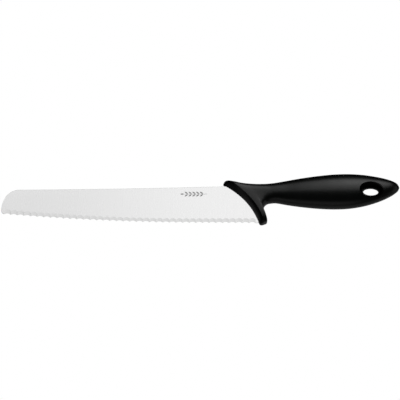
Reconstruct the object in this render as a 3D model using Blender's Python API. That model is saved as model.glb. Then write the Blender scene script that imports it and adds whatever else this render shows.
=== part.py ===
"""Bread knife: a scalloped stainless blade in a two-shot moulded handle.

The knife lies on its side. +X runs from the tip of the blade to the butt of the handle, +Y from the
cutting edge to the spine, and +Z out of the ground side of the blade. The origin is under the middle
of the knife's box, on the surface that the handle rests on.

Three solids make it up, nested as they are moulded:
  blade        stamped strip: the blade and the tang behind it, in one piece
  handle_core  hard first shot round the tang: the band in front of the guard, the carrier inside
               the grip and the lining of the hanging eye
  handle_skin  matt second shot over the carrier: the guard's sides and the whole grip

Lengths are in millimetres. Design points are (x, y) in the blade's middle plane, with y from the
handle's axis.
"""

import math

import bmesh
import bpy
from mathutils import Vector

MM = 0.001

# Where the design's origin lies in the knife's own frame.
AXIS_X = -0.3
AXIS_Y = 7.9  # the handle's axis above the middle of the box
AXIS_Z = 11.0  # the blade's middle plane above the surface: half the belly's thickness
GAP = 0.3  # between pieces that touch
SKIN = 2.0  # thickness of the second shot

# Blade.
TIP_X = -187.0
STRIP_THICK = 2.0  # left on the tang and the heel
BLADE_THICK = 1.8  # ground, in front of the guard
SPINE_LOW = 1.45  # height of the spine's crown, which would lie in front of the tip
SPINE_CROWN_X = -220.0
SPINE_RADIUS = 8300.0
EDGE_Y = -31.2
EDGE_BELLY_X = 0.0  # in front of this the edge curves up
EDGE_RADIUS = 1915.0
TIP_UPPER = (-178.5, 14.5)  # x of the corner between spine and end, and its radius
TIP_BULGE = (-184.9, -9.2, 20.0)
TIP_LOWER = (-187.8, 4.4)
HEEL = (57.0, 52.0)  # x of its lower and upper end, inside the guard
HEEL_RADIUS = 3.0
SHOULDER = ((36.0, 5.3), (43.0, 1.9))  # where the spine drops to the tang
TANG_END_X = 141.0
TANG_TOP = (1.9, 3.6)  # at the shoulder and at the end
TANG_BOTTOM = (-6.6, -3.4)
TANG_CORNER = 3.0
LOCK_HOLES = ((84.0, -1.6), (112.0, -0.6))
LOCK_HOLE_RADIUS = 2.7
TAPER_FROM = ((60.0, -7.0), (-187.0, 1.4))  # below this line both faces of the strip taper
TAPER = 0.0265  # of each face, per millimetre below that line

# Scallops, ground into the upper side only.
SCALLOP_PITCH = 6.2
SCALLOP_START_X = 52.1
SCALLOP_COUNT = 38
SCALLOP_STEPS = 6
SCALLOP_DEPTH = 1.2  # as seen from the side
SCALLOP_ANGLE = math.radians(13.0)
WHEEL_RADIUS = 16.0
WHEEL_REACH = 9.0

# Handle: sections from the guard's edge to the butt. Each has its top and bottom point, how far it
# bows back from the straight line between them, its half thickness and how square it is (2 is an
# ellipse).
SECTIONS = (
    ((28.4, 9.6), (59.8, -31.9), 4.1, 6.9, 4.5),
    ((33.0, 8.9), (62.9, -30.1), 3.6, 7.1, 4.0),
    ((38.3, 7.8), (61.4, -25.0), 3.2, 7.4, 3.4),
    ((44.5, 7.2), (58.6, -19.7), 2.5, 7.6, 3.0),
    ((51.0, 6.9), (60.0, -15.5), 1.8, 7.7, 2.7),
    ((57.5, 7.0), (62.8, -12.4), 1.0, 7.7, 2.5),
    ((64.5, 7.5), (67.5, -11.4), 0.4, 7.7, 2.3),
    ((72.0, 8.5), (72.5, -11.4), 0.0, 7.8, 2.2),
    ((82.0, 10.4), (82.0, -13.2), 0.0, 8.3, 2.1),
    ((95.0, 12.8), (95.0, -15.1), 0.0, 9.4, 2.1),
    ((110.0, 15.0), (110.0, -16.6), 0.0, 10.4, 2.1),
    ((125.0, 16.6), (125.0, -17.3), 0.0, 10.95, 2.1),
    ((139.0, 17.1), (139.0, -16.8), 0.0, 10.9, 2.1),
    ((152.0, 16.5), (152.0, -14.8), 0.0, 10.1, 2.1),
    ((163.0, 15.0), (163.0, -11.8), 0.0, 8.95, 2.1),
    ((172.5, 13.1), (172.5, -8.2), 0.0, 7.6, 2.1),
    ((180.0, 10.9), (180.0, -4.4), 0.0, 6.1, 2.0),
    ((184.6, 8.8), (184.6, -1.3), 0.0, 4.5, 2.0),
    ((186.9, 6.9), (186.9, 0.6), 0.0, 3.0, 2.0),
    ((187.4, 4.3), (187.4, 3.3), 0.0, 0.5, 2.0),
)
SAG = 0.35  # how much fuller the bow is below its middle than above it
# The band in front of the guard, from the blade's surface out to the guard's edge.
BAND = (
    ((21.9, 6.5), (55.5, -32.4), 5.0, STRIP_THICK / 2 + 2 * GAP, 8.0),
    ((24.0, 9.8), (57.3, -32.9), 4.7, 4.5, 6.0),
)
BAND_SAG = (0.1, 0.2)
CORE_END = 15.4  # in sections
RINGS_PER_SECTION = 2
SIDES = 32

# Hanging eye: an oval hole that narrows to a throat in the blade's plane.
EYE = (161.3, -0.5)
EYE_RIM = (9.9, 6.2)  # half length and half height at EYE_RIM_Z
EYE_RIM_Z = 8.2
EYE_THROAT = (7.3, 3.5)
EYE_FLARE = 1.6  # how suddenly it widens towards the rim
EYE_LINING = 0.8  # thickness of the core's lining at the rim
EYE_RECESS = 0.4  # of the lining's ends below the skin's surface
EYE_SIDES = 40
EYE_STEPS = 6
EYE_REACH_Z = 12.5  # past both faces

COLOURS = {
    "ground_steel": ((0.78, 0.78, 0.77, 1), 0.28, 1.0),
    "hard_black": ((0.012, 0.012, 0.013, 1), 0.22, 0.0),
    "matt_black": ((0.022, 0.023, 0.024, 1), 0.42, 0.0),
}


# Scene and objects


def clear_scene():
    for obj in list(bpy.data.objects):
        bpy.data.objects.remove(obj, do_unlink=True)


def new_collection(name, cutters=False):
    collection = bpy.data.collections.new(name)
    collection.hide_render = cutters
    bpy.context.scene.collection.children.link(collection)
    return collection


def new_material(name):
    colour, roughness, metallic = COLOURS[name]
    material = bpy.data.materials.new(name)
    material.use_nodes = True
    shader = material.node_tree.nodes["Principled BSDF"]
    shader.inputs["Base Color"].default_value = colour
    shader.inputs["Roughness"].default_value = roughness
    shader.inputs["Metallic"].default_value = metallic
    return material


def new_object(name, mesh, parent, collection, material=None):
    obj = bpy.data.objects.new(name, mesh)
    obj.parent = parent
    collection.objects.link(obj)
    if material:
        mesh.materials.append(material)
        mesh.shade_smooth()
        mesh.set_sharp_from_angle(angle=math.radians(30))
    else:
        obj.hide_render = True
        obj.display_type = "WIRE"
    return obj


def boolean(obj, operation, other):
    modifier = obj.modifiers.new(operation.lower(), "BOOLEAN")
    modifier.operation = operation
    modifier.solver = "EXACT"
    modifier.object = other


def tube(name, sections):
    """A closed solid through sections of equally many points, each end closed straight across."""
    shape = bmesh.new()
    rows = [[shape.verts.new(p) for p in points] for points in sections]
    count = len(rows[0])
    for row, after in zip(rows, rows[1:]):
        for k in range(count):
            j = (k + 1) % count
            shape.faces.new((row[k], row[j], after[j], after[k]))
    quarter = count // 4
    for row in (rows[0], rows[-1]):
        for k in range(-quarter, quarter):
            rung = (row[k], row[k + 1], row[2 * quarter - k - 1], row[2 * quarter - k])
            shape.faces.new(dict.fromkeys(rung))
    bmesh.ops.recalc_face_normals(shape, faces=shape.faces)
    mesh = bpy.data.meshes.new(name)
    shape.to_mesh(mesh)
    shape.free()
    return mesh


# Outlines in the blade's plane


def spine_y(x):
    return SPINE_LOW + (x - SPINE_CROWN_X) ** 2 / (2 * SPINE_RADIUS)


def edge_y(x):
    """The line that the tips of the scallops stand on."""
    return EDGE_Y + min(0.0, x - EDGE_BELLY_X) ** 2 / (2 * EDGE_RADIUS)


def rounded(corners, step=math.radians(7)):
    """The outline through (x, y, radius) corners, each rounded with an arc."""
    points = []
    for i, (x, y, radius) in enumerate(corners):
        here = Vector((x, y))
        if not radius:
            points.append(here)
            continue
        before = (Vector(corners[i - 1][:2]) - here).normalized()
        after = (Vector(corners[(i + 1) % len(corners)][:2]) - here).normalized()
        half = before.angle(after) / 2
        centre = here + (before + after).normalized() * (radius / math.sin(half))
        start = here + before * (radius / math.tan(half)) - centre
        end = here + after * (radius / math.tan(half)) - centre
        turn = start.angle_signed(end)  # clockwise is positive
        count = max(2, math.ceil(abs(turn) / step))
        for k in range(count + 1):
            angle = -turn * k / count
            points.append(
                centre
                + Vector(
                    (
                        start.x * math.cos(angle) - start.y * math.sin(angle),
                        start.x * math.sin(angle) + start.y * math.cos(angle),
                    )
                )
            )
    return points


def blade_outline(grow=0.0):
    """Blade and tang, anticlockwise from the heel, grown by that much on every side."""
    spine = [(x, spine_y(x) + grow, 0) for x in range(-164, 27, 19)]
    edge = [(x, edge_y(x) - grow, 0) for x in range(-176, 41, 12)]
    (drop_x, drop_y), (foot_x, foot_y) = SHOULDER
    upper_x, upper_radius = TIP_UPPER
    lower_x, lower_radius = TIP_LOWER
    corners = [
        (HEEL[0] + grow, EDGE_Y - grow, HEEL_RADIUS),
        (HEEL[1] + grow, TANG_BOTTOM[0] - grow, TANG_CORNER),
        (TANG_END_X + grow, TANG_BOTTOM[1] - grow, TANG_CORNER),
        (TANG_END_X + grow, TANG_TOP[1] + grow, TANG_CORNER),
        (foot_x, foot_y + grow, 0),
        (drop_x, drop_y + grow, 0),
        *reversed(spine),
        (upper_x, spine_y(upper_x) + grow, upper_radius),
        TIP_BULGE,
        (lower_x - grow, edge_y(lower_x) - grow, lower_radius),
        *edge,
    ]
    return rounded(corners)


def circle(x, y, radius, sides=28):
    turns = [2 * math.pi * k / sides for k in range(sides)]
    return [Vector((x + radius * math.cos(a), y + radius * math.sin(a))) for a in turns]


# Blade


def flat_plate(name, outlines, half_thick, collection):
    """A plate from a 2D curve, its caps welded to its sides."""
    curve = bpy.data.curves.new(name, "CURVE")
    curve.dimensions = "2D"
    curve.fill_mode = "BOTH"
    curve.extrude = half_thick * MM
    for points in outlines:
        spline = curve.splines.new("POLY")
        spline.points.add(len(points) - 1)
        spline.use_cyclic_u = True
        for target, point in zip(spline.points, points):
            target.co = (point.x * MM, point.y * MM, 0, 1)
    drawn = bpy.data.objects.new(name + "_outline", curve)
    collection.objects.link(drawn)
    bpy.context.view_layer.update()
    graph = bpy.context.evaluated_depsgraph_get()
    mesh = bpy.data.meshes.new_from_object(drawn.evaluated_get(graph))
    mesh.name = name
    bpy.data.objects.remove(drawn)
    shape = bmesh.new()
    shape.from_mesh(mesh)
    bmesh.ops.remove_doubles(shape, verts=shape.verts, dist=1e-6)
    return shape, mesh


def taper(shape, grow):
    """Both faces close in below a line from heel to tip."""
    start, end = (Vector(p) for p in TAPER_FROM)
    along = (end - start).normalized()
    down = Vector((-along.y, along.x))
    if down.y > 0:
        down = -down
    half = STRIP_THICK / 2 + grow
    everything = shape.verts[:] + shape.edges[:] + shape.faces[:]
    bmesh.ops.bisect_plane(
        shape,
        geom=everything,
        dist=1e-7,
        plane_co=(start.x * MM, start.y * MM, 0),
        plane_no=(down.x, down.y, 0),
    )
    for vert in shape.verts:
        depth = (Vector((vert.co.x, vert.co.y)) / MM - start) @ down
        if depth > 0:
            vert.co.z *= 1 - TAPER * depth / half


def tapered_plate(name, grow, parent, collection, material=None):
    """The blade's solid, or a larger one to cut its slot with."""
    outlines = [blade_outline(grow)]
    outlines += [circle(x, y, LOCK_HOLE_RADIUS - grow) for x, y in LOCK_HOLES]
    shape, mesh = flat_plate(name, outlines, STRIP_THICK / 2 + grow, collection)
    taper(shape, grow)
    bmesh.ops.recalc_face_normals(shape, faces=shape.faces)
    shape.to_mesh(mesh)
    shape.free()
    return new_object(name, mesh, parent, collection, material)


def grind_faces(blade, parent, cutters):
    """Both sides of the blade are ground thinner than the strip, up to a line just before the guard."""
    front = ring(BAND[0], shift=-GAP, sag=BAND_SAG[0])[SIDES // 4 : 3 * SIDES // 4 + 1]
    line = [p.xy / MM for p in front]
    top, bottom = line[0], line[-1]
    high, low, before = SPINE_LOW + 20.0, EDGE_Y - 20.0, TIP_X - 20.0
    outline = [Vector((top.x, high)), Vector((before, high)), Vector((before, low)), Vector((bottom.x, low))]
    for side in (1, -1):
        shape, mesh = flat_plate("face_grind", [outline + line[::-1]], 1.0, cutters)
        bmesh.ops.translate(shape, verts=shape.verts, vec=(0, 0, side * (BLADE_THICK / 2 + 1.0) * MM))
        bmesh.ops.recalc_face_normals(shape, faces=shape.faces)
        shape.to_mesh(mesh)
        shape.free()
        boolean(blade, "DIFFERENCE", new_object("face_grind", mesh, parent, cutters))


def station(x, across):
    """One section of the comb that grinds the scallops, across a pass by a share of its pitch."""
    slope = math.atan2(edge_y(x + 1) - edge_y(x - 1), 2)
    inward = Vector((-math.sin(slope), math.cos(slope), 0))
    up = Vector((0, 0, 1))
    lean = inward * math.cos(SCALLOP_ANGLE) + up * math.sin(SCALLOP_ANGLE)
    normal = up * math.cos(SCALLOP_ANGLE) - inward * math.sin(SCALLOP_ANGLE)
    height = WHEEL_RADIUS - math.sqrt(WHEEL_RADIUS**2 - (across * SCALLOP_PITCH) ** 2)
    back = -STRIP_THICK / 2 + TAPER * (TAPER_FROM[0][1] - EDGE_Y)
    foot = Vector((x, edge_y(x), back)) + inward * SCALLOP_DEPTH + normal * height
    low = foot - lean * WHEEL_REACH
    high = foot + lean * WHEEL_REACH
    return [p * MM for p in (low, high, high + up * WHEEL_REACH, low + up * WHEEL_REACH)]


def comb_mesh():
    """All grinding passes as one solid. Each is a stretch of a wheel that leans into the upper face."""
    stations = []
    for i in range(SCALLOP_COUNT * SCALLOP_STEPS + 1):
        x = SCALLOP_START_X - i * SCALLOP_PITCH / SCALLOP_STEPS
        stations.append(station(x, (i % SCALLOP_STEPS) / SCALLOP_STEPS - 0.5))
    return tube("scallops", stations)


# Handle


def section_at(place):
    """SECTIONS read as one smooth curve, at a place counted in sections."""
    last = len(SECTIONS) - 1
    i = min(int(place), last - 1)
    t = place - i
    near = [SECTIONS[min(max(k, 0), last)] for k in (i - 1, i, i + 1, i + 2)]
    weights = (
        (-t + 2 * t * t - t**3) / 2,
        (2 - 5 * t * t + 3 * t**3) / 2,
        (t + 4 * t * t - 3 * t**3) / 2,
        (t**3 - t * t) / 2,
    )

    def mix(values):
        if isinstance(values[0], tuple):
            return tuple(mix(v) for v in zip(*values))
        return sum(w * v for w, v in zip(weights, values))

    return mix(near)


def inset_section(place, inset):
    """The section at a place, its ends moved in square to the handle's outline and its sides inwards."""
    here = section_at(place)
    before = section_at(max(place - 0.05, 0.0))
    after = section_at(place + 0.05)
    ends = []
    for k, turn in ((0, 1), (1, -1)):
        along = (Vector(after[k]) - Vector(before[k])).normalized()
        inwards = Vector((along.y, -along.x)) * turn
        if place == 0.0:
            inwards = (Vector(here[1 - k]) - Vector(here[k])).normalized()
        ends.append(Vector(here[k]) + inwards * inset)
    _, _, bow, half_thick, square = here
    shorter = (ends[0] - ends[1]).length / (Vector(here[0]) - Vector(here[1])).length
    return (*ends, bow * shorter**2, half_thick - inset, square)


def ring(section, shift=0.0, sag=SAG):
    """The closed loop of a section, moved back along the handle by shift."""
    top, bottom, bow, half_thick, square = section
    top, bottom = Vector(top), Vector(bottom)
    along = (top - bottom) / 2
    back = Vector((along.y, -along.x)).normalized()
    centre = (top + bottom) / 2 + back * shift
    points = []
    for k in range(SIDES):
        angle = 2 * math.pi * k / SIDES
        up, out = math.sin(angle), math.cos(angle)
        reach = (abs(up) ** square + abs(out) ** square) ** (-1 / square)
        up, out = up * reach, out * reach
        point = centre + along * up + back * bow * (1 - up * up) * (1 - sag * up)
        points.append(Vector((point.x, point.y, out * half_thick)) * MM)
    return points


def grip_rings(inset, end=len(SECTIONS) - 1.0, shift=0.0):
    """Rings from the guard's edge to a place in the grip. The first one is moved back by shift."""
    count = math.ceil(end * RINGS_PER_SECTION)
    places = [k / RINGS_PER_SECTION for k in range(1, count)] + [end]
    rings = [ring(inset_section(0.0, inset), shift)]
    return rings + [ring(inset_section(place, inset)) for place in places]


def eye_mesh(name, half_size):
    """An upright oval prism or funnel whose half length and height are half_size(z)."""
    sections = []
    for step in range(-EYE_STEPS, EYE_STEPS + 1):
        z = EYE_REACH_Z * step / EYE_STEPS
        length, height = half_size(z)
        turns = [2 * math.pi * k / EYE_SIDES for k in range(EYE_SIDES)]
        sections.append(
            [
                Vector((EYE[0] + length * math.cos(a), EYE[1] + height * math.sin(a), z)) * MM
                for a in turns
            ]
        )
    return tube(name, sections)


def funnel(z):
    """Half length and half height of the eye at a height above the blade's plane."""
    share = (abs(z) / EYE_RIM_Z) ** EYE_FLARE
    return tuple(throat + (rim - throat) * share for throat, rim in zip(EYE_THROAT, EYE_RIM))


def oval(grow):
    def half_size(_z):
        return EYE_RIM[0] + grow, EYE_RIM[1] + grow

    return half_size


def make_core(parent, parts, cutters):
    band = [ring(section, sag=sag) for section, sag in zip(BAND, BAND_SAG)]
    carrier = grip_rings(SKIN + GAP, end=CORE_END)
    mesh = tube("handle_core", [*band, ring(SECTIONS[0]), *carrier])
    core = new_object("handle_core", mesh, parent, parts, new_material("hard_black"))
    lining = new_object("eye_lining", eye_mesh("eye_lining", oval(EYE_LINING)), parent, cutters)
    inside = tube("lining_ends", grip_rings(EYE_RECESS, end=16.0))
    limits = new_object("lining_ends", inside, parent, cutters)
    boolean(lining, "INTERSECT", limits)
    boolean(core, "UNION", lining)
    boolean(core, "DIFFERENCE", new_object("eye_funnel", eye_mesh("eye_funnel", funnel), parent, cutters))
    boolean(core, "DIFFERENCE", tapered_plate("blade_slot", GAP, parent, cutters))
    return core


def make_skin(parent, parts, cutters):
    mesh = tube("handle_skin", grip_rings(0.0, shift=GAP))
    skin = new_object("handle_skin", mesh, parent, parts, new_material("matt_black"))
    opening = [ring(inset_section(0.0, SKIN), -6.0)]
    cavity = tube("grip_cavity", opening + grip_rings(SKIN, end=CORE_END + 0.12))
    boolean(skin, "DIFFERENCE", new_object("grip_cavity", cavity, parent, cutters))
    hole = eye_mesh("eye_hole", oval(EYE_LINING + GAP))
    boolean(skin, "DIFFERENCE", new_object("eye_hole", hole, parent, cutters))
    return skin


def main():
    clear_scene()
    parts = new_collection("bread_knife")
    cutters = new_collection("cutters", cutters=True)
    knife = bpy.data.objects.new("knife_axis", None)
    knife.location = (AXIS_X * MM, AXIS_Y * MM, AXIS_Z * MM)
    parts.objects.link(knife)
    blade = tapered_plate("blade", 0.0, knife, parts, new_material("ground_steel"))
    grind_faces(blade, knife, cutters)
    boolean(blade, "DIFFERENCE", new_object("scallops", comb_mesh(), knife, cutters))
    make_core(knife, parts, cutters)
    make_skin(knife, parts, cutters)


main()
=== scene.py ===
"""Looks of the bread knife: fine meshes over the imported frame, their materials, and a pale studio.

The knife lies on its side. +X runs from the tip of the blade to the butt of the handle, +Y from the
cutting edge to the spine, +Z out of the ground side. Design lengths are in millimetres, as (x, y) in
the blade's middle plane with y from the handle's axis. The frame's boxes say where that axis lies.
"""

import math

import bmesh
import bpy
from mathutils import Matrix, Vector


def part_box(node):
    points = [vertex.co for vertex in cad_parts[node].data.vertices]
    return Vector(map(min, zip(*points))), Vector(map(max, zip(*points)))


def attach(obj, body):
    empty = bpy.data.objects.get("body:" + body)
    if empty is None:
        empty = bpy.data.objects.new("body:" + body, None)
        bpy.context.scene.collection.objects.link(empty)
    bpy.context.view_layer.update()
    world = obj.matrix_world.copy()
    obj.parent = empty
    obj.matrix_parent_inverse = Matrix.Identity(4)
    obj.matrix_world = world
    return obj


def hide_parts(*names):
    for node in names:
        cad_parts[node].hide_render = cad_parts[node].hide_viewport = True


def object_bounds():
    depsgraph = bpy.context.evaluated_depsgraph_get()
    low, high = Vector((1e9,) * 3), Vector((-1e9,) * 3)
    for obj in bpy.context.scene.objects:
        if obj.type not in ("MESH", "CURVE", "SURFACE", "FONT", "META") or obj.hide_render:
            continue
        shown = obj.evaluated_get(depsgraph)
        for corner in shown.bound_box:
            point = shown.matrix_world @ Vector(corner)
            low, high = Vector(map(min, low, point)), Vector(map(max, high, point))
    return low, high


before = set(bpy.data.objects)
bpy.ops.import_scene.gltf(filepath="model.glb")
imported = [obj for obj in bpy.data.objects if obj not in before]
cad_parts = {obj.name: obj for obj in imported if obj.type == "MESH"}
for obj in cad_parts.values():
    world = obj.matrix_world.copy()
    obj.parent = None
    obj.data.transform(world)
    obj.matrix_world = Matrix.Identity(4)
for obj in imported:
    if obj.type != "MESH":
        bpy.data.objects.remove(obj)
CAD_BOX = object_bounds()

MM = 0.001

# Blade.
BLADE_THICK = 1.8
SPINE_LOW = 1.45  # height of the spine's crown, which would lie in front of the tip
SPINE_CROWN_X = -220.0
SPINE_RADIUS = 8300.0
SPINE_ROUND = 0.22  # of the edges all round the plate
EDGE_Y = -31.2
EDGE_BELLY_X = 0.0  # in front of this the edge curves up
EDGE_RADIUS = 1915.0
TIP_UPPER = (-178.5, 14.5)  # x of the corner between spine and end, and its radius
TIP_BULGE = (-184.9, -9.2, 20.0)
TIP_LOWER = (-187.8, 4.4)
HIDDEN_END = ((57.0, EDGE_Y, 3.0), (52.0, -10.0, 3.0), (40.0, 4.0, 0))
SPINE_SPAN = (34, -165)  # x of the outline's points between the hidden end and the tip
EDGE_SPAN = (-176, 50)
OUTLINE_STEP = 6
ARC_STEP = math.radians(2.5)
ROUND_SEGMENTS = 3
SAME_POINT = 1e-5
TAPER_FROM = ((60.0, -10.8), (-187.0, -2.4))  # below this line both faces taper
TAPER = 0.0265  # of each face, per millimetre below that line
BLADE_SHARP = 8.0  # degrees between two faces that leave a sharp edge

# Scallops, ground into the upper side only.
SCALLOP_PITCH = 6.2
SCALLOP_START_X = 52.1
SCALLOP_COUNT = 38
SCALLOP_STEPS = 14
SCALLOP_DEPTH = 1.2
SCALLOP_ANGLE = math.radians(13.0)
WHEEL_RADIUS = 16.0
WHEEL_REACH = 9.0

# A plain ear of wheat, etched beside the guard.
EAR_ROOT = (6.5, -2.7)
EAR_LENGTH = 25.0
EAR_PAIRS = 6
GRAIN_SIZE = (3.6, 1.3)
GRAIN_ANGLE = math.radians(33.0)
GRAIN_ASIDE = 0.35  # from the stalk's middle to a grain's root
GRAIN_STEPS = 8  # along each side of a grain
GRAIN_POINT = 0.5  # how pointed a grain is, 0 being an oval
STALK_HALF_WIDTH = (0.16, 0.12)  # at the root and at the end
ETCH_LIFT = 0.012  # so that it doesn't lie in the blade's own surface

# Handle sections from the guard's edge to the butt: top and bottom point, how far the section bows
# back from the straight line between them, its half thickness and how square it is (2 is an ellipse).
SECTIONS = (
    ((28.4, 9.6), (59.8, -31.9), 4.1, 7.4, 6.0),
    ((33.0, 8.9), (62.9, -30.1), 3.6, 7.35, 5.4),
    ((38.3, 7.8), (61.4, -25.0), 3.2, 7.25, 4.6),
    ((44.5, 7.2), (58.6, -19.7), 2.5, 7.15, 3.8),
    ((51.0, 6.9), (60.0, -15.5), 1.8, 7.1, 3.2),
    ((57.5, 7.0), (62.8, -12.4), 1.0, 7.15, 2.7),
    ((64.5, 7.5), (67.5, -11.4), 0.4, 7.35, 2.3),
    ((72.0, 8.5), (72.5, -11.4), 0.0, 7.7, 2.2),
    ((82.0, 10.4), (82.0, -13.2), 0.0, 8.3, 2.1),
    ((95.0, 12.8), (95.0, -15.1), 0.0, 9.4, 2.1),
    ((110.0, 15.0), (110.0, -16.6), 0.0, 10.4, 2.1),
    ((125.0, 16.6), (125.0, -17.3), 0.0, 10.95, 2.1),
    ((139.0, 17.1), (139.0, -16.8), 0.0, 10.9, 2.1),
    ((152.0, 16.5), (152.0, -14.8), 0.0, 10.1, 2.1),
    ((163.0, 15.0), (163.0, -11.8), 0.0, 8.95, 2.1),
    ((172.5, 13.1), (172.5, -8.2), 0.0, 7.6, 2.1),
    ((180.0, 10.9), (180.0, -4.4), 0.0, 6.1, 2.0),
    ((184.6, 8.7), (184.6, -1.2), 0.0, 4.3, 2.0),
    ((186.6, 6.8), (186.6, 0.7), 0.0, 2.6, 2.0),
    ((187.9, 4.1), (187.9, 3.5), 0.0, 0.3, 2.0),
)
BUTT_X = 187.4  # of the CAD model, where the end isn't so round
SAG = 0.35  # how much fuller the bow is below its middle than above it
# The band in front of the guard, from the blade's surface out to the guard's edge.
BAND = (
    ((21.9, 6.5), (55.5, -32.4), 5.0, 1.15, 8.0),
    ((24.0, 9.8), (57.3, -32.9), 4.7, 4.5, 6.0),
)
BAND_SAG = (0.1, 0.2)
BAND_STEPS = 6
BAND_END_INSET = 1.5  # of its last ring, hidden inside the guard
EDGE_ROUND = 0.25  # of the guard's edge
EDGE_ROUND_STEPS = 4
RINGS_PER_SECTION = 7
SIDES = 96
HANDLE_SHARP = 30.0  # degrees
TANGENT_REACH = 0.05  # in sections, to each side of a place
BELLY_STEPS = 20  # per section, to find the belly's highest point

# Hanging eye: an oval hole that narrows to a throat in the blade's plane.
EYE = (160.8, -0.5)
EYE_RIM = (11.3, 7.6)  # half length and half height at EYE_RIM_Z
EYE_RIM_Z = 8.2
EYE_THROAT = (7.0, 3.5)
EYE_FLARE = 1.6  # how suddenly it widens towards the rim
EYE_RECESS = 0.35  # of the lining's ends below the grip's surface
EYE_SEAM = 0.1
EYE_SIDES = 96
EYE_STEPS = 24
EYE_REACH_Z = 12.5  # past both faces
LINING_END = 16.0  # the place in the grip up to which the lining is cut to its surface

# Materials. Depths and distances are in metres, noise scales per metre.
STEEL_COLOUR = (0.72, 0.72, 0.72, 1)
STEEL_ROUGH = (0.24, 0.28)
STEEL_LINES = {"stretch": (1.0, 0.03, 1.0), "scale": 1400.0, "detail": 3.0}
STEEL_LINE_DEPTH = 0.000003
STEEL_LINE_STRENGTH = 0.25
ETCH_COLOUR = (0.30, 0.30, 0.30, 1)
ETCH_ROUGH = (0.5, 0.7)
ETCH_FROST = {"scale": 9000.0, "detail": 2.0}
MATT_BLACK = {
    "colour": (0.0018, 0.0026, 0.0023, 1),
    "rough": 0.30,
    "ior": 1.49,
    "grain_size": 0.0004,
    "grain_depth": 0.00002,
}
HARD_BLACK = {
    "colour": (0.002, 0.002, 0.0022, 1),
    "rough": 0.24,
    "ior": 1.3,
    "grain_size": 0.0008,
    "grain_depth": 0.000008,
}
GLOSS_PATCHES = {"scale": 90.0, "detail": 3.0}
GLOSS_SPREAD = (-0.02, 0.03)  # of the plastic's roughness
GRAIN_DETAIL = 2.0
GRAIN_STRENGTH = 0.5
NOISE_RANGE = (0.3, 0.7)  # noise seldom leaves it

# Studio.
VIEW_FROM_EDGE = math.radians(20.0)  # the camera leans this far towards the cutting edge
CAMERA_DISTANCE = 1.5
VIEW_WIDTH = 0.376  # at the knife
AIM_OFFSET = (-0.00024, -0.0004, 0)  # from the middle of the knife
FLOOR_SIZE = 6.0
FLOOR_GLOW = 0.22  # as the knife sees it
FLOOR_FADE = (0.0, 0.03)  # it fades out over these y
ROOM_GLOW = 0.02  # as the knife sees it
PANEL_DISTANCE = 1.6
FAR_FROM_BELLY = 0.1  # only points this far in front of it can carry the tip
# Soft panels: degrees across and above, size, brightness, and the pieces that they light. Steel and
# black plastic have their own, because the steel needs a much wider one to look even.
PANELS = (
    ("softbox", 15, 50, (1.08, 1.50), 1.1, "handle"),
    ("hot_spot", 19, 46, (0.7, 0.7), 1.25, "handle"),
    ("blade_box", 4, 83, (3.0, 2.9), 0.92, "blade"),
    ("blade_ramp", 19, 64, (1.5, 1.7), 0.31, "blade"),
    ("edge_card", -14, 155, (2.4, 0.9), 0.25, "handle"),
    ("blade_far_left", -48, 35, (1.9, 2.2), 0.6, "blade"),
    ("blade_far_right", 48, 150, (1.9, 2.2), 0.6, "blade"),
    ("blade_far_right_back", 55, 30, (1.9, 1.6), 0.5, "blade"),
    ("blade_far_left_front", -60, 150, (1.9, 1.6), 0.5, "blade"),
    ("grip_far_left", -58, 60, (0.9, 2.0), 0.9, "grip"),
    ("grip_far_right", 72, 110, (0.7, 1.6), 0.35, "grip"),
)


def section_at(place):
    """SECTIONS read as one smooth curve, at a place counted in sections."""
    last = len(SECTIONS) - 1
    i = min(int(place), last - 1)
    t = place - i
    near = [SECTIONS[min(max(k, 0), last)] for k in (i - 1, i, i + 1, i + 2)]
    weights = (
        (-t + 2 * t * t - t**3) / 2,
        (2 - 5 * t * t + 3 * t**3) / 2,
        (t + 4 * t * t - 3 * t**3) / 2,
        (t**3 - t * t) / 2,
    )

    def mix(values):
        if isinstance(values[0], tuple):
            return tuple(mix(v) for v in zip(*values))
        return sum(w * v for w, v in zip(weights, values))

    return mix(near)


BLADE_LOW, BLADE_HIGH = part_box("blade")
SKIN_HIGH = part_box("handle_skin")[1]
BELLY_PLACES = [k / BELLY_STEPS for k in range(BELLY_STEPS * (len(SECTIONS) - 1))]
BELLY_TOP = max(section_at(place)[0][1] for place in BELLY_PLACES)
MIDDLE_Z = (BLADE_LOW[2] + BLADE_HIGH[2]) / 2
AXIS = Vector((SKIN_HIGH[0] - BUTT_X * MM, SKIN_HIGH[1] - BELLY_TOP * MM, MIDDLE_Z))


# Meshes and objects


def finish_mesh(name, shape, sharp_angle):
    """Turns a bmesh in design millimetres into a mesh in the frame, smooth but for sharper edges."""
    bmesh.ops.recalc_face_normals(shape, faces=shape.faces)
    for vert in shape.verts:
        vert.co = vert.co * MM + AXIS
    mesh = bpy.data.meshes.new(name)
    shape.to_mesh(mesh)
    shape.free()
    mesh.shade_smooth()
    mesh.set_sharp_from_angle(angle=math.radians(sharp_angle))
    return mesh


def tube(name, sections, sharp_angle=HANDLE_SHARP):
    """A closed solid through sections of equally many points, each end closed straight across."""
    shape = bmesh.new()
    rows = [[shape.verts.new(p) for p in points] for points in sections]
    count = len(rows[0])
    for row, after in zip(rows, rows[1:]):
        for k in range(count):
            j = (k + 1) % count
            shape.faces.new((row[k], row[j], after[j], after[k]))
    quarter = count // 4
    for row in (rows[0], rows[-1]):
        for k in range(-quarter, quarter):
            rung = (row[k], row[k + 1], row[2 * quarter - k - 1], row[2 * quarter - k])
            shape.faces.new(dict.fromkeys(rung))
    return finish_mesh(name, shape, sharp_angle)


def new_object(name, mesh, material=None):
    obj = bpy.data.objects.new(name, mesh)
    bpy.context.scene.collection.objects.link(obj)
    if material:
        mesh.materials.append(material)
    return obj


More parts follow.
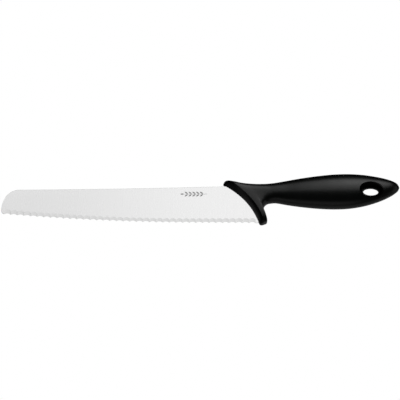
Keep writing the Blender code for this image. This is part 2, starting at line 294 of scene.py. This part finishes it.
def apply_modifiers(obj, sharp_angle):
    """Replaces the object's mesh with what its modifiers make of it."""
    bpy.context.view_layer.update()
    graph = bpy.context.evaluated_depsgraph_get()
    mesh = bpy.data.meshes.new_from_object(obj.evaluated_get(graph))
    obj.modifiers.clear()
    obj.data = mesh
    mesh.shade_smooth()
    mesh.set_sharp_from_angle(angle=math.radians(sharp_angle))


def boolean(obj, operation, other):
    modifier = obj.modifiers.new(operation.lower(), "BOOLEAN")
    modifier.operation = operation
    modifier.solver = "EXACT"
    modifier.object = other


def cut(obj, operation, mesh, sharp_angle):
    """A Boolean with a mesh that is thrown away afterwards."""
    tool = new_object("tool", mesh)
    boolean(obj, operation, tool)
    apply_modifiers(obj, sharp_angle)
    bpy.data.objects.remove(tool)


# Blade


def spine_y(x):
    return SPINE_LOW + (x - SPINE_CROWN_X) ** 2 / (2 * SPINE_RADIUS)


def edge_y(x):
    """The line that the tips of the scallops stand on."""
    return EDGE_Y + min(0.0, x - EDGE_BELLY_X) ** 2 / (2 * EDGE_RADIUS)


def rounded(corners):
    """The outline through (x, y, radius) corners, each rounded with an arc."""
    points = []
    for i, (x, y, radius) in enumerate(corners):
        here = Vector((x, y))
        if not radius:
            points.append(here)
            continue
        before = (Vector(corners[i - 1][:2]) - here).normalized()
        after = (Vector(corners[(i + 1) % len(corners)][:2]) - here).normalized()
        half = before.angle(after) / 2
        centre = here + (before + after).normalized() * (radius / math.sin(half))
        start = here + before * (radius / math.tan(half)) - centre
        end = here + after * (radius / math.tan(half)) - centre
        turn = -start.angle_signed(end)
        count = max(2, math.ceil(abs(turn) / ARC_STEP))
        for k in range(count + 1):
            cos, sin = math.cos(turn * k / count), math.sin(turn * k / count)
            turned = Vector((start.x * cos - start.y * sin, start.x * sin + start.y * cos))
            points.append(centre + turned)
    return points


def blade_outline():
    """From the hidden end along the spine, round the tip and back along the edge, anticlockwise."""
    spine = [(x, spine_y(x), 0) for x in range(*SPINE_SPAN, -OUTLINE_STEP)]
    edge = [(x, edge_y(x), 0) for x in range(*EDGE_SPAN, OUTLINE_STEP)]
    upper_x, upper_radius = TIP_UPPER
    lower_x, lower_radius = TIP_LOWER
    tip = [(upper_x, spine_y(upper_x), upper_radius), TIP_BULGE, (lower_x, edge_y(lower_x), lower_radius)]
    return rounded([*HIDDEN_END, *spine, *tip, *edge])


def strip():
    """The blade's plate with rounded spine, both faces tapering towards the edge."""
    half = BLADE_THICK / 2
    shape = bmesh.new()
    outline = blade_outline()
    floor = [shape.verts.new((p.x, p.y, -half)) for p in outline]
    base = shape.faces.new(floor)
    lifted = bmesh.ops.extrude_face_region(shape, geom=[base])["geom"]
    top = [part for part in lifted if isinstance(part, bmesh.types.BMVert)]
    bmesh.ops.translate(shape, verts=top, vec=(0, 0, 2 * half))
    rims = [edge for edge in shape.edges if abs(edge.verts[0].co.z - edge.verts[1].co.z) < half]
    bmesh.ops.bevel(
        shape,
        geom=rims,
        offset=SPINE_ROUND,
        segments=ROUND_SEGMENTS,
        profile=0.5,
        affect="EDGES",
        clamp_overlap=True,
    )
    start, end = (Vector(p) for p in TAPER_FROM)
    down = (end - start).orthogonal().normalized()
    if down.y > 0:
        down = -down
    bmesh.ops.bisect_plane(
        shape,
        geom=shape.verts[:] + shape.edges[:] + shape.faces[:],
        dist=SAME_POINT,
        plane_co=(start.x, start.y, 0),
        plane_no=(down.x, down.y, 0),
    )
    for vert in shape.verts:
        depth = (vert.co.xy - start) @ down
        if depth > 0:
            vert.co.z *= 1 - TAPER * depth / half
    return finish_mesh("blade_strip", shape, BLADE_SHARP)


def station(x, across):
    """One section of the comb that grinds the scallops, across a pass by a share of its pitch."""
    slope = math.atan2(edge_y(x + 1) - edge_y(x - 1), 2)
    inward = Vector((-math.sin(slope), math.cos(slope), 0))
    up = Vector((0, 0, 1))
    lean = inward * math.cos(SCALLOP_ANGLE) + up * math.sin(SCALLOP_ANGLE)
    normal = up * math.cos(SCALLOP_ANGLE) - inward * math.sin(SCALLOP_ANGLE)
    height = WHEEL_RADIUS - math.sqrt(WHEEL_RADIUS**2 - (across * SCALLOP_PITCH) ** 2)
    back = -BLADE_THICK / 2 + TAPER * (TAPER_FROM[0][1] - EDGE_Y)
    foot = Vector((x, edge_y(x), back)) + inward * SCALLOP_DEPTH + normal * height
    low = foot - lean * WHEEL_REACH
    high = foot + lean * WHEEL_REACH
    return low, high, high + up * WHEEL_REACH, low + up * WHEEL_REACH


def comb():
    """All grinding passes as one solid. Each is a stretch of a wheel that leans into the upper face."""
    stations = []
    for i in range(SCALLOP_COUNT * SCALLOP_STEPS + 1):
        x = SCALLOP_START_X - i * SCALLOP_PITCH / SCALLOP_STEPS
        stations.append(station(x, (i % SCALLOP_STEPS) / SCALLOP_STEPS - 0.5))
    return tube("comb", stations, BLADE_SHARP)


def make_blade(material):
    blade = new_object("ground_blade", strip(), material)
    cut(blade, "DIFFERENCE", comb(), BLADE_SHARP)
    return blade


def grain(shape, root, angle):
    """One pointed grain of the ear, a thin plate lying on the blade."""
    length, width = GRAIN_SIZE
    along = Vector((-math.cos(angle), math.sin(angle)))
    across = Vector((along.y, -along.x))
    points = []
    for k in range(2 * GRAIN_STEPS):
        turn = math.pi * k / GRAIN_STEPS
        side = math.sin(turn) * abs(math.sin(turn)) ** GRAIN_POINT
        share = (1 - math.cos(turn)) / 2
        points.append(root + along * length * share + across * width / 2 * side)
    z = BLADE_THICK / 2 + ETCH_LIFT
    shape.faces.new([shape.verts.new((p.x, p.y, z)) for p in points])


def make_ear(material):
    """A stalk with pairs of grains and one at its end."""
    shape = bmesh.new()
    root = Vector(EAR_ROOT)
    pitch = (EAR_LENGTH - GRAIN_SIZE[0]) / EAR_PAIRS
    for i in range(1, EAR_PAIRS):
        for side in (1, -1):
            grain(shape, root + Vector((-i * pitch, side * GRAIN_ASIDE)), side * GRAIN_ANGLE)
    grain(shape, root + Vector((-EAR_PAIRS * pitch, 0)), 0.0)
    z = BLADE_THICK / 2 + ETCH_LIFT
    thick, thin = STALK_HALF_WIDTH
    end = -EAR_PAIRS * pitch
    stalk = ((0, thick), (end, thin), (end, -thin), (0, -thick))
    shape.faces.new([shape.verts.new((root.x + x, root.y + y, z)) for x, y in stalk])
    extruded = bmesh.ops.extrude_face_region(shape, geom=shape.faces[:])["geom"]
    lower = [part for part in extruded if isinstance(part, bmesh.types.BMVert)]
    bmesh.ops.translate(shape, verts=lower, vec=(0, 0, -2 * ETCH_LIFT))
    return new_object("etched_ear", finish_mesh("etched_ear", shape, HANDLE_SHARP), material)


# Handle


def inset_section(place, inset):
    """The section at a place, its ends moved in square to the handle's outline and its sides inwards."""
    here = section_at(place)
    before = section_at(max(place - TANGENT_REACH, 0.0))
    after = section_at(place + TANGENT_REACH)
    ends = []
    for k, turn in ((0, 1), (1, -1)):
        along = (Vector(after[k]) - Vector(before[k])).normalized()
        inwards = Vector((along.y, -along.x)) * turn
        if place == 0.0:
            inwards = (Vector(here[1 - k]) - Vector(here[k])).normalized()
        ends.append(Vector(here[k]) + inwards * inset)
    _, _, bow, half_thick, square = here
    shorter = (ends[0] - ends[1]).length / (Vector(here[0]) - Vector(here[1])).length
    return (*ends, bow * shorter**2, half_thick - inset, square)


def ring(section, shift=0.0, sag=SAG):
    """The closed loop of a section, moved back along the handle by shift."""
    top, bottom, bow, half_thick, square = section
    top, bottom = Vector(top), Vector(bottom)
    along = (top - bottom) / 2
    back = Vector((along.y, -along.x)).normalized()
    centre = (top + bottom) / 2 + back * shift
    points = []
    for k in range(SIDES):
        angle = 2 * math.pi * k / SIDES
        up, out = math.sin(angle), math.cos(angle)
        reach = (abs(up) ** square + abs(out) ** square) ** (-1 / square)
        up, out = up * reach, out * reach
        point = centre + along * up + back * bow * (1 - up * up) * (1 - sag * up)
        points.append(Vector((point.x, point.y, out * half_thick)))
    return points


def rounded_start():
    """Rings over a small round from the guard's flat front to its side."""
    rings = []
    for k in range(EDGE_ROUND_STEPS):
        turn = math.pi / 2 * k / EDGE_ROUND_STEPS
        inset = EDGE_ROUND * (1 - math.sin(turn))
        rings.append(ring(inset_section(0.0, inset), EDGE_ROUND * (1 - math.cos(turn))))
    return rings


def grip_rings(inset, end=len(SECTIONS) - 1.0):
    """Rings from just behind the guard's edge to a place in the grip."""
    count = math.ceil(end * RINGS_PER_SECTION)
    places = [k / RINGS_PER_SECTION for k in range(1, count)] + [end]
    return [ring(inset_section(place, inset)) for place in places]


def band_section(share):
    """The band's section, from 0 at the blade over BAND[1] to 1 at the guard's edge, and its sag."""
    first, middle, last = (*zip(BAND, BAND_SAG), (SECTIONS[0], SAG))

    def mix(a, b, c):
        if isinstance(a, tuple):
            return tuple(mix(*values) for values in zip(a, b, c))
        near, half, far = (1 - share) * (1 - 2 * share), 4 * share * (1 - share), share * (2 * share - 1)
        return a * near + b * half + c * far

    return mix(first, middle, last)


def oval(half_size):
    """A standing oval tube whose half length and height are half_size(z)."""
    sections = []
    for step in range(-EYE_STEPS, EYE_STEPS + 1):
        z = EYE_REACH_Z * step / EYE_STEPS
        length, height = half_size(z)
        points = []
        for k in range(EYE_SIDES):
            turn = 2 * math.pi * k / EYE_SIDES
            points.append(Vector((EYE[0] + length * math.cos(turn), EYE[1] + height * math.sin(turn), z)))
        sections.append(points)
    return tube("oval", sections)


def straight(grow):
    def half_size(_z):
        return EYE_RIM[0] + grow, EYE_RIM[1] + grow

    return half_size


def funnel(z):
    share = (abs(z) / EYE_RIM_Z) ** EYE_FLARE
    return tuple(throat + (rim - throat) * share for throat, rim in zip(EYE_THROAT, EYE_RIM))


def make_skin(material):
    """The guard's sides and the grip, with the hole for the eye's lining."""
    skin = new_object("grip", tube("grip", rounded_start() + grip_rings(0.0)), material)
    cut(skin, "DIFFERENCE", oval(straight(EYE_SEAM)), HANDLE_SHARP)
    return skin


def make_band(material):
    """The dark band between the blade and the guard's edge."""
    rings = []
    for k in range(BAND_STEPS + 1):
        section, sag = band_section(k / BAND_STEPS)
        rings.append(ring(section, sag=sag))
    rings.append(ring(inset_section(0.0, BAND_END_INSET)))
    return new_object("guard_band", tube("guard_band", rings), material)


def make_lining(material):
    """The wall of the hanging eye, wide at both faces and narrow in the middle."""
    lining = new_object("eye_lining", oval(straight(0.0)), material)
    limits = tube("limits", [ring(SECTIONS[0])] + grip_rings(EYE_RECESS, LINING_END))
    cut(lining, "INTERSECT", limits, HANDLE_SHARP)
    cut(lining, "DIFFERENCE", oval(funnel), HANDLE_SHARP)
    return lining


# Materials


def new_material(name):
    material = bpy.data.materials.new(name)
    material.use_nodes = True
    return material, material.node_tree.nodes, material.node_tree.links


def object_noise(nodes, links, scale, detail, stretch=(1.0, 1.0, 1.0)):
    """Noise in object space, its coordinates multiplied by stretch."""
    place = nodes.new("ShaderNodeTexCoord")
    mapping = nodes.new("ShaderNodeMapping")
    mapping.inputs["Scale"].default_value = stretch
    noise = nodes.new("ShaderNodeTexNoise")
    noise.inputs["Scale"].default_value = scale
    noise.inputs["Detail"].default_value = detail
    links.new(place.outputs["Object"], mapping.inputs["Vector"])
    links.new(mapping.outputs["Vector"], noise.inputs["Vector"])
    return noise.outputs["Fac"]


def ranged(nodes, links, value, low, high, across=NOISE_RANGE):
    """Maps a value, noise as a rule, onto a range of a shader's input."""
    node = nodes.new("ShaderNodeMapRange")
    node.inputs["From Min"].default_value, node.inputs["From Max"].default_value = across
    node.inputs["To Min"].default_value = low
    node.inputs["To Max"].default_value = high
    links.new(value, node.inputs["Value"])
    return node.outputs["Result"]


def bump(nodes, links, shader, height, distance, strength):
    node = nodes.new("ShaderNodeBump")
    node.inputs["Distance"].default_value = distance
    node.inputs["Strength"].default_value = strength
    links.new(height, node.inputs["Height"])
    links.new(node.outputs["Normal"], shader.inputs["Normal"])


def ground_steel():
    """Stainless steel with fine grinding lines across the blade."""
    material, nodes, links = new_material("ground_steel")
    shader = nodes["Principled BSDF"]
    shader.inputs["Base Color"].default_value = STEEL_COLOUR
    shader.inputs["Metallic"].default_value = 1.0
    lines = object_noise(nodes, links, **STEEL_LINES)
    links.new(ranged(nodes, links, lines, *STEEL_ROUGH), shader.inputs["Roughness"])
    bump(nodes, links, shader, lines, STEEL_LINE_DEPTH, STEEL_LINE_STRENGTH)
    return material


def etched_steel():
    material, nodes, links = new_material("etched_steel")
    shader = nodes["Principled BSDF"]
    shader.inputs["Base Color"].default_value = ETCH_COLOUR
    shader.inputs["Metallic"].default_value = 1.0
    frost = object_noise(nodes, links, **ETCH_FROST)
    links.new(ranged(nodes, links, frost, *ETCH_ROUGH), shader.inputs["Roughness"])
    return material


def moulded_black(name, colour, rough, ior, grain_size, grain_depth):
    """Black plastic with a moulded grain and slightly uneven gloss."""
    material, nodes, links = new_material(name)
    shader = nodes["Principled BSDF"]
    shader.inputs["Base Color"].default_value = colour
    shader.inputs["IOR"].default_value = ior
    patches = object_noise(nodes, links, **GLOSS_PATCHES)
    low, high = (rough + spread for spread in GLOSS_SPREAD)
    links.new(ranged(nodes, links, patches, low, high), shader.inputs["Roughness"])
    grains = object_noise(nodes, links, 1.0 / grain_size, GRAIN_DETAIL)
    bump(nodes, links, shader, grains, grain_depth, GRAIN_STRENGTH)
    return material


def plain_floor():
    """White in view. To the knife it is a dim surface, darker behind the spine."""
    material, nodes, links = new_material("pale_floor")
    place = nodes.new("ShaderNodeTexCoord")
    axes = nodes.new("ShaderNodeSeparateXYZ")
    links.new(place.outputs["Object"], axes.inputs["Vector"])
    dim = ranged(nodes, links, axes.outputs["Y"], FLOOR_GLOW, 0.0, FLOOR_FADE)
    under = nodes.new("ShaderNodeEmission")
    links.new(dim, under.inputs["Strength"])
    seen = nodes.new("ShaderNodeEmission")
    seen.inputs["Strength"].default_value = 1.0
    path = nodes.new("ShaderNodeLightPath")
    mixed = nodes.new("ShaderNodeMixShader")
    links.new(path.outputs["Is Camera Ray"], mixed.inputs["Fac"])
    links.new(under.outputs["Emission"], mixed.inputs[1])
    links.new(seen.outputs["Emission"], mixed.inputs[2])
    links.new(mixed.outputs["Shader"], nodes["Material Output"].inputs["Surface"])
    nodes.remove(nodes["Principled BSDF"])
    return material


# Studio


def make_floor(pieces):
    """A plane that the belly of the handle and the tip of the blade both rest on."""
    points = [piece.matrix_world @ v.co for piece in pieces for v in piece.data.vertices]
    belly = min(points, key=lambda p: p.z)
    front = [p for p in points if belly.x - p.x > FAR_FROM_BELLY]
    slope = min((p.z - belly.z) / (belly.x - p.x) for p in front)
    drop = min(p.z - slope * (belly.x - p.x) for p in points)
    corners = []
    for x, y in ((-1, -1), (1, -1), (1, 1), (-1, 1)):
        x, y = x * FLOOR_SIZE / 2, y * FLOOR_SIZE / 2
        corners.append((x, y, slope * (belly.x - x) + drop))
    mesh = bpy.data.meshes.new("floor")
    mesh.from_pydata(corners, [], [(0, 1, 2, 3)])
    floor = new_object("floor", mesh, plain_floor())


def make_panel(name, across, above, size, brightness):
    """A soft panel of even brightness, facing the knife. It stands above degrees over the horizon on
    the spine's side, past 90 on the edge's side, and across degrees towards the butt."""
    light = bpy.data.lights.new(name, "AREA")
    light.shape = "RECTANGLE"
    light.size, light.size_y = size
    light.energy = brightness * math.pi * size[0] * size[1]
    panel = bpy.data.objects.new(name, light)
    across, above = math.radians(across), math.radians(above)
    aside = math.cos(across)
    towards = Vector((math.sin(across), aside * math.cos(above), aside * math.sin(above)))
    panel.location = AXIS + towards * PANEL_DISTANCE
    lean = -math.sin(across)
    right = Vector((math.cos(across), lean * math.cos(above), lean * math.sin(above)))
    panel.rotation_euler = Matrix((right, towards.cross(right), towards)).transposed().to_euler()
    panel.visible_camera = False
    bpy.context.scene.collection.objects.link(panel)
    return panel


def make_studio(blade, handle):
    world = bpy.data.worlds.new("studio")
    world.use_nodes = True
    nodes, links = world.node_tree.nodes, world.node_tree.links
    path = nodes.new("ShaderNodeLightPath")
    glow = ranged(nodes, links, path.outputs["Is Camera Ray"], ROOM_GLOW, 1.0, (0.0, 1.0))
    background = nodes["Background"]
    background.inputs["Color"].default_value = (1, 1, 1, 1)
    links.new(glow, background.inputs["Strength"])
    bpy.context.scene.world = world
    bpy.context.scene.view_settings.view_transform = "Standard"
    lit = {}
    for name, members in (("blade", blade), ("handle", handle), ("grip", handle[:1])):
        lit[name] = bpy.data.collections.new("lit_" + name)
        for obj in members:
            lit[name].objects.link(obj)
    for *panel, what in PANELS:
        make_panel(*panel).light_linking.receiver_collection = lit[what]


def make_camera():
    low, high = (Vector(corner) for corner in CAD_BOX)
    aim = Vector(((low.x + high.x) / 2, (low.y + high.y) / 2, AXIS.z)) + Vector(AIM_OFFSET)
    towards = Vector((0, -math.sin(VIEW_FROM_EDGE), math.cos(VIEW_FROM_EDGE)))
    camera = bpy.data.cameras.new("camera")
    camera.lens = camera.sensor_width * CAMERA_DISTANCE / VIEW_WIDTH
    obj = bpy.data.objects.new("camera", camera)
    obj.location = aim + towards * CAMERA_DISTANCE
    obj.rotation_euler = (VIEW_FROM_EDGE, 0, 0)
    bpy.context.scene.collection.objects.link(obj)
    bpy.context.scene.camera = obj


def main():
    steel = ground_steel()
    matt = moulded_black("matt_black", **MATT_BLACK)
    hard = moulded_black("hard_black", **HARD_BLACK)
    blade = make_blade(steel)
    ear = make_ear(etched_steel())
    skin = make_skin(matt)
    band = make_band(hard)
    lining = make_lining(hard)
    for piece, slot in (
        (blade, "ground_steel"),
        (ear, "ground_steel"),
        (skin, "matt_black"),
        (band, "hard_black"),
        (lining, "hard_black"),
    ):
        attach(piece, "root")
    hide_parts("blade")
    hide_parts("handle_skin")
    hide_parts("handle_core")
    make_floor((blade, skin, band))
    make_studio((blade, ear), (skin, band, lining))
    make_camera()


main()
